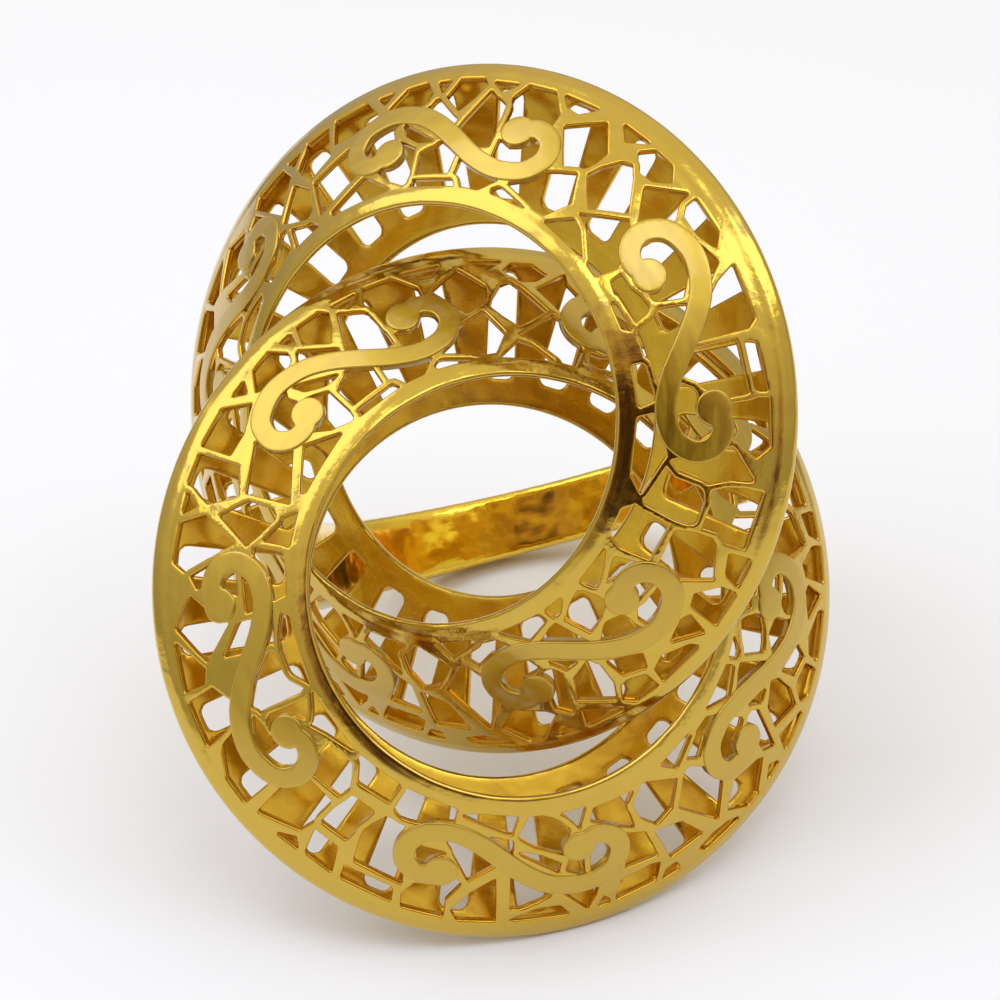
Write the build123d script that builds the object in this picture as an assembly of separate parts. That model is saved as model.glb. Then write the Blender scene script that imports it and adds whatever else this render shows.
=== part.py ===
from build123d import *
import os
from math import asin, atan2, cos, degrees, hypot, radians, sin

# A wide gold ring in three soldered pieces: two alike hoops, linked through each other, on a finger band.
# Each hoop is a channel with a V section, open at its mouth: a domed face pierced round five S scrolls,
# and a flat back cut by a ring of slots, which meet at the rounded rim.
# Lengths are millimetres and angles are degrees.
# The head is built with X across the finger, Y along the finger and Z out of the head.
# At the end it is laid on its side, as it rests on a table, with its origin under the middle of its box.

# hoop
HOOP_R = 13.75          # outside radius at the rim
MOUTH_R = 8.28          # radius of the opening in the face
BACK_R = 7.60           # radius of the opening in the back
SHEET = 0.30            # thickness of the face and the back, and radius of the rim
RIM_SLOPE = 44.5        # slope of the domed face where it leaves the rim
MOUTH_SLOPE = 25.5      # slope of the domed face at its mouth
BACK_SLOPE = 6.5        # slope of the back

# pierced face
SECTORS = 5             # S scrolls in one face
RIM_MARGIN = 0.78       # plain metal left outside the gaps
MOUTH_MARGIN = 0.88     # plain metal left inside the gaps
STRAP = 0.85            # width of a scroll's strap
DISC_R = 0.68           # radius of the disc that ends a scroll
STRUT = 0.42            # width of a strut between two gaps

# slotted back
SLOTS = 25
SLOT_W = 1.15
SLOT_INNER_R = 8.50
SLOT_OUTER_R = 12.75
SLOT_START = 1.8        # angle of the first slot
SLOT_CORNER = 0.35

# head
HOOP_SHIFT = 3.57       # from the middle of the head to the middle of each hoop
HOOP_TILT = 20.0        # lean of each hoop to its own side, which lets the two pass through each other
HOOP_PITCH = 1.4
HEAD_TURN = -6.6        # the line of the two hoops is turned from the finger's axis
UPPER_FACE_TURN = 79.4  # angle of the first scroll in each face
LOWER_FACE_TURN = 298.5

# finger band
FINGER_R = 8.65         # inside radius
BAND_T = 1.30           # thickness
PALM_W = 2.86           # width at the palm side
MIDDLE_W = 3.72         # width at the level of the finger's axis
SHOULDER_W = 3.90       # width where it meets the hoops
FINGER_DROP = 10.60     # from the middle of the head to the finger's axis
BAND_SHIFT = -0.60      # of the band along the finger
SOLDER_GAP = 0.05       # left between the band and the hoops
BAND_EDGE = 0.20        # bevel of the band's edges

# how the ring lies on its side, on the lower hoop's rim and the edge of the band
REST_ROLL = 15.9        # about the line out of the head
REST_PITCH = 54.65      # of the head back from level

# A scroll's middle line from its left disc to its middle, as angle from the scroll's middle and share of
# the way from mouth to rim. The other half is the same line turned about the scroll's middle.
SCROLL_MIDDLE = 0.47
SCROLL_LINE = [(-14.3, 0.555), (-18.0, 0.605), (-21.6, 0.560), (-22.9, 0.450), (-20.9, 0.335),
               (-17.0, 0.283), (-13.0, 0.276), (-8.0, 0.318), (-4.0, 0.385)]
# Each strut's two ends, in the same measures. An end at 1 or 0 is in the plain metal of a margin.
STRUTS = [((-2.0, 1.0), (-10.5, 0.58)), ((-19.0, 0.64), (-21.1, 1.0)), ((17.0, 0.70), (17.0, 1.0)),
          ((24.0, 0.50), (47.8, 0.47)), ((30.3, 1.0), (34.0, 0.47)), ((38.0, 0.50), (41.6, 0.0)),
          ((2.1, 0.0), (10.5, 0.36)), ((-17.0, 0.25), (-17.0, 0.0))]


# the face's section: an arc from the rim's middle to the mouth
RIM_MIDDLE = HOOP_R - SHEET
RIM_FACE_R = RIM_MIDDLE + SHEET * sin(radians(RIM_SLOPE))
DOME_R = (RIM_FACE_R - MOUTH_R) / (sin(radians(RIM_SLOPE)) - sin(radians(MOUTH_SLOPE)))
DOME_X = MOUTH_R - DOME_R * sin(radians(MOUTH_SLOPE))
DOME_Z = SHEET * cos(radians(RIM_SLOPE)) - DOME_R * cos(radians(RIM_SLOPE))
FACE_RISE = DOME_Z + DOME_R * cos(radians(MOUTH_SLOPE))
FACE_COS = (RIM_FACE_R - MOUTH_R) / hypot(RIM_FACE_R - MOUTH_R, FACE_RISE - SHEET * cos(radians(RIM_SLOPE)))
GAP_DEPTH = 3 * SHEET


def on_dome(radius, slope):
    """a point of the face's section, at a distance from the dome's middle and a slope"""
    angle = radians(slope)
    return (DOME_X + radius * sin(angle), DOME_Z + radius * cos(angle))


def on_rim(radius, slope):
    """a point at a distance from the middle of the rim's section, in the direction square to a slope"""
    angle = radians(slope)
    return (RIM_MIDDLE + radius * sin(angle), radius * cos(angle))


def flat(angle, share):
    """a point of the flattened face, where a scroll's middle is on the Y axis"""
    radius = (MOUTH_R + (HOOP_R - MOUTH_R) * share) / FACE_COS
    turn = radians(angle) * FACE_COS
    return (radius * sin(turn), radius * cos(turn))


def disc_at(radius, centre):
    """a round disc on the flattened face"""
    return Pos(*centre) * Circle(radius)


def scroll():
    """one S scroll on the flattened face"""
    half = [flat(angle, share) for angle, share in SCROLL_LINE]
    turned = [flat(-angle, 2 * SCROLL_MIDDLE - share) for angle, share in SCROLL_LINE]
    line = half + [flat(0, SCROLL_MIDDLE)] + turned[::-1]
    return trace(Spline(*line), STRAP) + disc_at(DISC_R, line[0]) + disc_at(DISC_R, line[-1])


def strut(start, end, turn):
    """a straight strut on the flattened face, in the sector at a turn"""
    first = flat(start[0] + turn, start[1])
    last = flat(end[0] + turn, end[1])
    middle = ((first[0] + last[0]) / 2, (first[1] + last[1]) / 2)
    length = hypot(last[0] - first[0], last[1] - first[1])
    lean = degrees(atan2(last[1] - first[1], last[0] - first[0]))
    return Pos(*middle) * Rot(0, 0, lean) * Rectangle(length, STRUT)


def sector_gaps():
    """the gaps of one sector of the flattened face, as flat faces"""
    pitch = 360 / SECTORS
    outer = (HOOP_R - RIM_MARGIN) / FACE_COS
    inner = (MOUTH_R + MOUTH_MARGIN) / FACE_COS
    panel = Circle(outer) - Circle(inner)
    metal = scroll()
    for turn in (-pitch, 0, pitch):
        metal += Rot(0, 0, turn * FACE_COS) * scroll()
        for start, end in STRUTS:
            metal += strut(start, end, turn)
    gaps = (panel - metal).faces()
    half = radians(pitch * FACE_COS / 2)
    return [gap for gap in gaps if -half < lean_of(gap) <= half]


def lean_of(gap):
    """the angle in radians from the Y axis to the middle of a gap, clockwise"""
    middle = gap.center()
    return atan2(middle.X, middle.Y)


def gap_cutter(gap):
    """the prism that cuts a flat gap through the face, in the first sector"""
    middle = gap.center()
    lean = lean_of(gap)
    distance = hypot(middle.X, middle.Y)
    radius = distance * FACE_COS
    slope = degrees(asin((radius - DOME_X) / DOME_R))
    height = on_dome(DOME_R, slope)[1]
    level = Pos(0, -distance) * Rot(0, 0, degrees(lean)) * gap
    seat = Plane(
        origin=(radius, 0, height),
        x_dir=(0, 1, 0),
        z_dir=(-sin(radians(slope)), 0, -cos(radians(slope))),
    )
    prism = extrude(seat * level, GAP_DEPTH, both=True)
    return Rot(0, 0, degrees(lean) / FACE_COS) * prism


def dome_arc(radius):
    """an arc about the dome's middle, from the slope at the mouth to the slope at the rim"""
    return ThreePointArc(
        on_dome(radius, MOUTH_SLOPE),
        on_dome(radius, (MOUTH_SLOPE + RIM_SLOPE) / 2),
        on_dome(radius, RIM_SLOPE),
    )


def section(*edges):
    """a closed outline of the hoop's section, as a face"""
    return Plane.XZ * make_face(list(edges))


def face_sheet(face_turn):
    """the domed face, cut through by its gaps"""
    skin = DOME_R
    inside = DOME_R - SHEET
    outline = section(
        dome_arc(skin),
        Line(on_dome(skin, RIM_SLOPE), on_dome(inside, RIM_SLOPE)),
        dome_arc(inside),
        Line(on_dome(skin, MOUTH_SLOPE), on_dome(inside, MOUTH_SLOPE)),
    )
    cutters = []
    for gap in sector_gaps():
        cutter = gap_cutter(gap)
        for sector in range(SECTORS):
            cutters.append(Rot(0, 0, face_turn + sector * 360 / SECTORS) * cutter)
    return revolve(outline, Axis.Z) - cutters


def back_point(run, rise):
    """a point of the back's section, along its skin from the rim's middle and square to it"""
    angle = radians(BACK_SLOPE)
    return (RIM_MIDDLE - run * cos(angle) + rise * sin(angle), -run * sin(angle) - rise * cos(angle))


def back_sheet():
    """the flat back, cut through by its ring of slots"""
    angle = radians(BACK_SLOPE)
    run = (RIM_MIDDLE - BACK_R) / cos(angle)
    outline = section(
        Line(back_point(0, 0), back_point(run, 0)),
        Line(back_point(run, 0), back_point(run, SHEET)),
        Line(back_point(run, SHEET), back_point(0, SHEET)),
        Line(back_point(0, SHEET), back_point(0, 0)),
    )
    middle = (SLOT_INNER_R + SLOT_OUTER_R) / 2
    slot = Pos(middle, 0) * RectangleRounded(SLOT_OUTER_R - SLOT_INNER_R, SLOT_W, SLOT_CORNER)
    cutter = Pos(0, 0, back_point(run, SHEET)[1]) * extrude(slot, FACE_RISE, both=True)
    cutters = []
    for index in range(SLOTS):
        cutters.append(Rot(0, 0, SLOT_START + index * 360 / SLOTS) * cutter)
    return revolve(outline, Axis.Z) - cutters


def rim():
    """the rounded rim that joins the face and the back"""
    centre = (RIM_MIDDLE, 0)
    face_side = on_rim(SHEET, RIM_SLOPE)
    back_side = back_point(0, SHEET)
    outline = section(
        Line(centre, face_side),
        ThreePointArc(face_side, (HOOP_R, 0), back_side),
        Line(back_side, centre),
    )
    return revolve(outline, Axis.Z)


def hoop(face_turn):
    """one hoop about its own axis, face up"""
    return face_sheet(face_turn) + back_sheet() + rim()


def hoop_places():
    """where the lower and the upper hoop lie in the head"""
    upper = Pos(0, HOOP_SHIFT, 0) * Rot(0, -HOOP_TILT, 0) * Rot(HOOP_PITCH, 0, 0)
    turn = Rot(0, 0, HEAD_TURN)
    return turn * Rot(0, 0, 180) * upper, turn * upper


def hoop_envelope():
    """the space that a hoop takes up, grown by the solder gap, without its gaps and its hollow"""
    angle = radians(BACK_SLOPE)
    run = (RIM_MIDDLE - BACK_R) / cos(angle) + SOLDER_GAP
    grown = SHEET + SOLDER_GAP
    skin = DOME_R + SOLDER_GAP
    outline = section(
        Line(on_dome(skin, MOUTH_SLOPE), back_point(run, grown)),
        Line(back_point(run, grown), back_point(0, grown)),
        ThreePointArc(back_point(0, grown), (HOOP_R + SOLDER_GAP, 0), on_rim(grown, RIM_SLOPE)),
        dome_arc(skin),
    )
    return revolve(outline, Axis.Z)


def flare_points(side):
    """three points down one side of the band, seen from the side of the finger"""
    return [
        (side * PALM_W / 2, -FINGER_R - BAND_T),
        (side * MIDDLE_W / 2, 0),
        (side * SHOULDER_W / 2, FINGER_DROP),
    ]


def band_blank():
    """the U-shaped band about the finger's axis, with bevelled edges and long ends"""
    outer = FINGER_R + BAND_T
    hairpin = Circle(outer) + Pos(0, FINGER_DROP / 2) * Rectangle(2 * outer, FINGER_DROP)
    hole = Circle(FINGER_R) + Pos(0, FINGER_DROP) * Rectangle(2 * FINGER_R, 2 * FINGER_DROP)
    bent = extrude(Plane.XZ * (hairpin - hole), SHOULDER_W, both=True)
    near = flare_points(-1)
    far = flare_points(1)
    flare = make_face([
        ThreePointArc(*near),
        ThreePointArc(*far),
        Line(near[0], far[0]),
        Line(near[-1], far[-1]),
    ])
    blank = bent & extrude(Plane.YZ * flare, outer, both=True)
    return chamfer(blank.edges(), BAND_EDGE)


def finger_band(places):
    """the band, with its ends seated under the deepest limb of each hoop"""
    band = Pos(0, BAND_SHIFT, -FINGER_DROP) * band_blank()
    for place in places:
        band -= place * hoop_envelope()
    return max(band.solids(), key=lambda solid: solid.volume)


lower_place, upper_place = hoop_places()
pieces = {
    "lower_hoop": lower_place * hoop(LOWER_FACE_TURN),
    "upper_hoop": upper_place * hoop(UPPER_FACE_TURN),
    "finger_band": finger_band([lower_place, upper_place]),
}
resting = Rot(REST_PITCH, 0, 0) * Rot(0, 0, REST_ROLL)
pieces = {name: resting * piece for name, piece in pieces.items()}
boxes = [piece.bounding_box() for piece in pieces.values()]
left = min(box.min.X for box in boxes)
right = max(box.max.X for box in boxes)
front = min(box.min.Y for box in boxes)
back = max(box.max.Y for box in boxes)
foot = Pos(-(left + right) / 2, -(front + back) / 2, -min(box.min.Z for box in boxes))

os.makedirs("parts", exist_ok=True)
for name, piece in pieces.items():
    export_step(foot * piece, f"parts/{name}.step")
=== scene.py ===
import bmesh, bpy
import numpy as np
from math import cos, hypot, pi, radians, sin
from mathutils import Matrix, Vector


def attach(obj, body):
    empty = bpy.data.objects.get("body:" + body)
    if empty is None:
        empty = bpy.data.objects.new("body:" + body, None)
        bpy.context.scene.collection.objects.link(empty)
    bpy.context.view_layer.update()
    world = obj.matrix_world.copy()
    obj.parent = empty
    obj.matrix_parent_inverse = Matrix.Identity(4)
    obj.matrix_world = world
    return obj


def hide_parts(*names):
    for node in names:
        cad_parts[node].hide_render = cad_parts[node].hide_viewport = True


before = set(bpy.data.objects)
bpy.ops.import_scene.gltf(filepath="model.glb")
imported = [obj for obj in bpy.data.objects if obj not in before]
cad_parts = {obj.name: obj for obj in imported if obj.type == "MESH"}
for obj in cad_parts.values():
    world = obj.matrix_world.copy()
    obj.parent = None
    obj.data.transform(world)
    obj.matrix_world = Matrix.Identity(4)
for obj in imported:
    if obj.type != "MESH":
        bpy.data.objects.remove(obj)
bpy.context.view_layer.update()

# The hoops' and the band's sizes, in millimetres and degrees, are those of the solids that they stand for.
HOOP_R, MOUTH_R, BACK_R, SHEET = 13.75, 8.28, 7.60, 0.30
RIM_SLOPE, MOUTH_SLOPE, BACK_SLOPE = 44.5, 25.5, 6.5
SLOTS, SLOT_W, SLOT_INNER_R, SLOT_OUTER_R, SLOT_START, SLOT_CORNER = 25, 1.15, 8.50, 12.75, 1.8, 0.35
HOOP_SHIFT, HOOP_TILT, HOOP_PITCH, HEAD_TURN = 3.57, 20.0, 1.4, -6.6
UPPER_FACE_TURN, LOWER_FACE_TURN = 79.4, 298.5
FINGER_R, FINGER_DROP, BAND_EDGE = 8.65, 10.60, 0.20
REST_ROLL, REST_PITCH = 15.9, 54.65
FOOT = (0.0, -2.8003, 13.8495)
MM_PER_M = 1000

# Each face has five sectors with a scroll in each, whose line is given from one end to its middle at angle 0.
SECTORS = 5
SECTOR = 360 / SECTORS
STRAP, DISC_R = 0.85, 0.68
SCROLL_MIDDLE = 47
SCROLL_LINE = [(-14.3, 55.5), (-18, 60.5), (-21.6, 56), (-22.9, 45), (-20.9, 33.5), (-17, 28.3), (-13, 27.6),
               (-8, 31.8), (-4, 38.5)]
SCROLL_RISE, SCROLL_ROUND, SCROLL_SINK = 0.075, 0.06, 0.01

# The net's holes are grown and rounded, its struts at least two halves wide, and the scrolls lap over it.
HOLE_GROWTH, HOLE_CORNER, STRUT_HALF, STRUT_ROUND, SCROLL_LAP = 0.08, 0.05, 0.13, 0.07, 0.03
HOLE_REACH, NO_HOLE = 0.7, 9.0
REACHING_ANGLE = 33
MOUTH_BEAD, RIM_BEAD, RIM_BEAD_START = 0.02, 0.025, 90

# A cut edge is rounded in steps outwards and down, in parts of its radius, and stays clear of the under side.
SLOT_ROUND = 0.06
ROUNDING = [(0.55, 0.15), (0.9, 0.55), (1, 1)]
UNDER_GAP = 0.6

# the meshes' grids: steps round the hoop, rows across it, and where the net's rows start and end in percent
COLUMNS, MOUTH_ROWS, NET_ROWS, RIM_ROWS = 720, 7, 60, 5
NET_START, NET_END = 10.5, 93.1
BACK_COLUMNS, BACK_ROWS = 500, 34
START_ANGLE = -SECTOR / 2
SCROLL_ANGLE, SCROLL_ANGLE_STEP = 27.5, 0.5
SCROLL_LOW, SCROLL_HIGH, SCROLL_PERCENT_STEP = 19, 76, 1.5
LINE_STEPS, RIM_STEPS, LIP_STEPS = 8, 13, 9
SNAP, LEAST_STEEP = 0.33, 1e-5
NEARLY, TINY = 1e-6, 1e-9
WELD = 1e-4
SHARP_ANGLE = 62
VOXEL_M, SOFTENINGS, SOFTENING = 0.00012, 10, 0.5

# The streaks' sweep is in millimetres, and five times closer across the metal than along it.
SWEEP_R, SWEEP_LEAN, SWEEP_ACROSS = 12, 0.7, 5

# the numbers of a hoop's golds, in the order that hoops() gives them
NET, WALL, INSIDE, SATIN, RIM = range(5)

# the golds' noises, each with its scale and detail, to the metre except for the streaks on their sweep
WAVE_NOISE, STREAK_NOISE, GRAIN_NOISE = (420, 2), (0.55, 3), (9000, 2)
PIT_NOISE, PATCH_NOISE = (3000, 2), (300, 1)
NOISE_LOW, NOISE_HIGH = 0.35, 0.65
COAT_ROUGH, LEAST_ROUGH, MOST_ROUGH = 0.12, 0.85, 1.2
DEEPER, DEEPER_AT, FULL_AT = (0.95, 0.92, 0.85), 0.3, 0.7

# the picture's frame against the head's, in millimetres and radians, and how far off and how wide it is
PICTURE_MIDDLE = (-0.502, -0.006, 0)
PICTURE_YAW, PICTURE_PITCH, PICTURE_ROLL = -0.151, -0.002, 0.132
CAMERA_FAR, PICTURE_W, SENSOR_W = 104.49, 39.90, 36.0
NEAREST_M, FARTHEST_M = 0.005, 10.0

# the studio, in metres and degrees, and the colours and strengths of its light
FLOOR_SIZE, AIM_HEIGHT = 2.0, 0.014
DIM_WAY, DIM_EDGE, DIM_CORE = (0.16, -0.91, 0.38), 33, 15
WARM, COOL = (1.02, 0.98, 0.91), (0.87, 1.0, 1.3)
BROWN, WHITE = (1.6, 0.8, 0.6), (1.0, 1.0, 1.0)
SIDE_LIGHT, TOP_LIGHT, DIM_LIGHT, SEEN_LIGHT = 0.44, 1.0, 0.06, 0.97

# The holes of the five sectors: corners as angle from the sector's middle and percent of the way to the rim.
HOLES = [
    [
        [(-35.6, 87), (-31, 87), (-33, 81)],
        [(-31.8, 67), (-27.8, 82), (-22.3, 69), (-25.2, 56), (-27.3, 48), (-31.4, 54)],
        [(-24.4, 87), (-18.7, 87), (-20.2, 82), (-22.4, 81)],
        [(-19.3, 74), (-16, 87), (-11.2, 87), (-9.8, 78), (-10.9, 55), (-16, 55), (-19.3, 60)],
        [(-8.6, 86), (-5, 86), (-6.8, 81)],
        [(-9.2, 70), (-4.7, 79), (-1.2, 52), (-2.4, 46), (-7, 41), (-9.5, 42)],
        [(-2.9, 84), (-2, 88), (2.3, 88), (3.7, 76), (0.3, 66), (-1.6, 74)],
        [(4.6, 87), (6.3, 87), (5.2, 81)],
        [(0.2, 58), (5.6, 74), (7.6, 69), (3, 60), (0.6, 54)],
        [(7.6, 79), (9.3, 88), (13, 87), (15.9, 76), (14, 72), (7.9, 72)],
        [(16.3, 87), (18.6, 87), (17.4, 82)],
        [(19, 74), (22, 88), (28.7, 88), (28.6, 69), (24.5, 68)],
        [(30.8, 87), (35.8, 87), (38.3, 71), (35.9, 54), (30.4, 61)],
        [(25, 56), (34.6, 48), (34.2, 20), (23.3, 33), (24.3, 45)],
        [(14.3, 12.5), (21, 26.5), (30.8, 14), (30.5, 12.5)],
        [(8.2, 14), (8.2, 39), (12, 45), (17, 30), (14, 20), (9.5, 14)],
        [(-2.2, 20), (-2.6, 33), (2, 41.5), (6, 34), (6.1, 20)],
        [(-4.9, 12), (-4.6, 15.5), (6.8, 15.5), (7.2, 12)],
        [(-15.2, 20), (-4.6, 30), (-4.4, 20), (-7.2, 12.5), (-12, 12.5)],
        [(-26, 12.5), (-18, 18.5), (-16, 14), (-16.3, 12.5)],
        [(4, 43), (11.3, 57.5), (10.6, 51), (7.5, 44)],
        [(14.6, 56), (13.2, 62), (17, 65), (22, 60), (21, 40), (17.5, 38), (14, 50)],
        [(-21, 50), (-18.4, 55), (-16.6, 46), (-14, 43), (-11.7, 46), (-11.9, 34), (-20, 33)],
        [(-33.8, 30), (-30.2, 47), (-25.3, 38), (-22.5, 27), (-18.5, 20), (-26, 15), (-31, 15.5)],
    ],
    [
        [(-34.4, 85), (-31.3, 85), (-32.6, 79)],
        [(-30.9, 71), (-29, 85), (-22.5, 86), (-21, 79), (-24.6, 60), (-26.7, 50)],
        [(-22, 62), (-20, 74), (-18, 70), (-19, 62)],
        [(-35.3, 46), (-31.7, 60), (-26.8, 40), (-33, 25), (-35, 29)],
        [(-35.4, 13), (-33.5, 20), (-28.2, 28), (-27.7, 13)],
        [(-26, 34), (-24.7, 34), (-20, 22), (-15, 20), (-16, 13.5), (-20, 13.5), (-25.6, 17)],
        [(-10.7, 15), (-5, 20), (2.3, 20.5), (6.2, 12), (-9.8, 12)],
        [(-12, 23.5), (-4.9, 31), (-4.5, 25)],
        [(-3.5, 27), (2, 42), (6.5, 51), (8.3, 48), (8.4, 19), (7, 17), (4.5, 23.5), (1, 24.5)],
        [(9.3, 17), (9, 44), (12.5, 47), (11, 30), (14, 23), (12.4, 20)],
        [(9.8, 12), (15.6, 23), (19, 18), (27, 12)],
        [(8.8, 53), (14, 62), (21.5, 60), (21, 40), (17.8, 37), (13.6, 49)],
        [(-20.6, 45.5), (-18.2, 56), (-16.6, 45)],
        [(-20.3, 41), (-12.6, 38), (-13.2, 31), (-19.5, 31)],
        [(-10.6, 36), (-10.2, 44), (-4.7, 56), (-4.7, 46)],
        [(-16, 75), (-11, 85), (-4.6, 70), (-10.6, 53), (-12, 56), (-14, 68)],
        [(-8, 87), (-0.4, 88), (-0.8, 76), (-3.2, 73)],
        [(0.8, 72), (2, 88), (9.4, 88), (8.3, 74), (6.3, 63), (4.5, 63)],
        [(9.6, 70), (11, 80), (16, 88), (20.8, 88), (20.4, 70), (16, 71)],
        [(23, 62), (23.9, 85), (30.6, 75), (31.5, 62), (30.9, 48), (24.8, 47)],
        [(24.6, 42), (31.6, 40), (31.8, 33), (29, 20), (22, 22), (22.5, 30)],
        [(28.4, 12), (33, 25), (40.7, 24), (40.8, 12)],
        [(32.5, 61), (38.3, 61), (39.2, 36), (34, 36)],
        [(33.3, 70), (34.6, 84), (39.7, 85), (37.9, 70)],
        [(29, 86.5), (32.5, 85.5), (31.5, 81.5)],
    ],
    [
        [(-30.4, 78), (-29.9, 85), (-20.8, 85.5), (-21.5, 78)],
        [(-31.8, 49), (-29.7, 70.5), (-20.5, 71.5), (-21.5, 62), (-24, 50), (-25.5, 35), (-29.3, 35)],
        [(-28.8, 12), (-28.6, 27), (-26.5, 30), (-23.2, 28), (-19, 21.5), (-15.7, 19.5), (-15.8, 12)],
        [(-13.2, 14), (-1.3, 23), (-0.5, 12), (-9, 12)],
        [(-5.5, 27), (-0.7, 37), (-1, 29)],
        [(1.2, 37.5), (9.6, 54), (9.8, 49), (5.5, 41)],
        [(0.9, 26), (4.6, 33), (10.6, 41), (12.5, 25), (10.7, 18), (6, 12.5), (3, 12.5)],
        [(11.2, 13), (14.8, 24.5), (16.7, 13)],
        [(18.2, 23), (23.5, 33), (26.8, 40), (26.7, 25), (29.3, 17), (19.3, 16)],
        [(28.6, 25), (29.6, 38), (32, 48), (36.3, 44), (40.2, 30), (33.5, 17), (32.4, 17)],
        [(31.3, 54), (32.2, 78), (38.9, 78), (36.4, 60)],
        [(29.6, 90), (32.5, 90), (32.3, 86), (30.6, 85.5)],
        [(20.3, 88), (28, 88), (29.3, 78), (28, 76), (22, 76)],
        [(17.2, 88), (18.9, 88), (18, 84)],
        [(10.6, 71), (14.8, 87), (16.3, 80), (16.8, 75), (14.5, 74)],
        [(1.2, 87), (11, 87.5), (9.6, 81.5), (5, 81)],
        [(0.2, 54), (0.9, 78), (3, 79), (7.8, 71), (6.6, 66)],
        [(-9.6, 82), (-8.3, 88), (-2, 87), (-3.4, 58), (-7, 68)],
        [(-19, 79), (-18.2, 87), (-11.2, 87), (-11.8, 76), (-9.9, 63), (-11, 60), (-14.5, 68), (-17.8, 70)],
        [(-15.2, 33), (-13, 41), (-8.5, 58), (-3.9, 46), (-8.6, 36), (-14.5, 31)],
        [(-20.6, 44), (-18.5, 55), (-16.5, 46), (-15, 43)],
        [(11.2, 54), (14.5, 60), (14.6, 47), (12.4, 47)],
        [(16.6, 60), (20, 60), (21.2, 50), (20, 40), (18.2, 39), (16.9, 46)],
        [(23.4, 67), (29.4, 70), (28.6, 50), (25.2, 44), (24.9, 55)],
    ],
    [
        [(-34.2, 88), (-33.5, 91), (-26, 91.5), (-27.8, 88), (-31, 86)],
        [(-26, 80), (-22.8, 91), (-20.2, 91), (-15.3, 77), (-16.2, 74), (-22, 68)],
        [(-16.6, 91), (-14, 91), (-15.2, 87)],
        [(-10.8, 91), (-4.3, 91), (-9.6, 82)],
        [(-2.1, 87), (-0.8, 91), (3.8, 91), (3.9, 82), (1, 79), (-0.5, 80)],
        [(5.6, 91), (13.9, 91), (13.5, 88), (9, 81), (6.3, 84)],
        [(12.8, 78), (16.8, 88), (18.2, 77), (17, 75)],
        [(19.3, 91), (25.3, 91), (25.2, 84), (22.3, 73), (20.3, 75)],
        [(27, 90), (31.4, 90), (31.3, 80), (28, 83)],
        [(24, 60), (26.4, 76), (33.8, 68), (32.3, 46), (25.2, 46)],
        [(25.2, 38), (33, 40), (35.3, 20), (32.8, 12.5), (26.2, 12.5), (24.8, 20)],
        [(12.4, 12.5), (12.6, 21), (16, 20), (21.8, 12.5)],
        [(16.5, 24.5), (22.5, 31), (21.6, 21)],
        [(2.2, 23), (4, 38.5), (7.4, 37), (11.2, 32), (11, 22), (9.3, 16), (7, 17.5)],
        [(0.1, 12), (0.5, 17.5), (2, 18), (4.4, 12)],
        [(-13.9, 12), (-9, 22.5), (-2.3, 16.5), (-2.7, 12)],
        [(-7.4, 29.5), (1.4, 43), (-0.9, 23), (-2.5, 23.5)],
        [(4.6, 48), (11.2, 60), (11.1, 46), (7.6, 42)],
        [(12.8, 55), (13, 60), (16, 63), (20, 58), (20.3, 52), (14.5, 51)],
        [(16.5, 47), (20.6, 48), (20.3, 42), (18.5, 40), (17, 44)],
        [(-21, 47), (-18.3, 57), (-16.5, 45), (-11.6, 43), (-13.3, 31), (-20, 32)],
        [(-13.6, 73), (-11.8, 79), (-8.2, 52), (-9, 48), (-11, 47)],
        [(-8.5, 73), (-3.4, 83), (-1.5, 74), (-0.7, 60), (-1.6, 54.5), (-6.2, 60)],
        [(1.5, 62), (1.6, 73), (5.3, 78), (6.8, 71)],
        [(-7.9, 43), (-6.3, 51), (-4, 50)],
        [(-34, 49), (-28.8, 78), (-24.3, 60), (-24.6, 42), (-27.5, 31), (-29.2, 31)],
        [(-26.3, 23.5), (-24.4, 29), (-20, 22), (-14.6, 22.5), (-16.6, 16), (-20.5, 16)],
        [(-32.3, 13), (-30, 21.5), (-22.6, 13.5), (-23, 12)],
    ],
    [
        [(-38.6, 85), (-29.2, 86), (-28.8, 68), (-30.2, 60), (-37, 59), (-38.4, 74)],
        [(-37.2, 50), (-36.6, 56), (-32.5, 57), (-29.8, 51), (-28.8, 36), (-26.9, 31), (-33, 25),
         (-36.4, 22)],
        [(-33.3, 19), (-24.6, 28.5), (-19, 23.5), (-15.8, 20), (-16.5, 12), (-30, 12)],
        [(-13, 13), (-12, 20), (-3.9, 19.5), (-3.9, 12)],
        [(-8, 24.5), (-1, 36), (5.7, 50), (6.9, 37), (4.3, 20), (-2, 20.5)],
        [(5.8, 20), (6.9, 29), (9.5, 30), (14, 24), (17, 23.5), (16.7, 18), (12.5, 16)],
        [(5, 16.5), (12.3, 14.5), (11.8, 12), (6, 12)],
        [(19.6, 25), (24, 42), (26.8, 46.5), (34, 28.5), (30, 22), (24, 12), (20.6, 12)],
        [(21.6, 66), (24.5, 82), (29.6, 67), (25, 52), (23.5, 55)],
        [(28.2, 80), (30.2, 86), (34, 86), (35.5, 80), (33, 72), (30, 74)],
        [(28.1, 49), (34.6, 71), (36.4, 68), (39.6, 52), (37, 43), (34, 36), (31.8, 41)],
        [(14.3, 80), (16, 84), (22.8, 84), (23, 78), (21.5, 75), (17, 75)],
        [(8.7, 67), (11.3, 76), (17.2, 70), (12, 66)],
        [(-0.9, 53), (-0.7, 80), (0.4, 84), (9.5, 83), (8, 74), (3.6, 60)],
        [(-12.9, 60), (-12, 75), (-2.8, 71.5), (-3, 50), (-6.5, 39), (-9.2, 45), (-11, 56)],
        [(-22.8, 80), (-21, 86), (-13.2, 85), (-13.7, 67), (-19.5, 66)],
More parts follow.
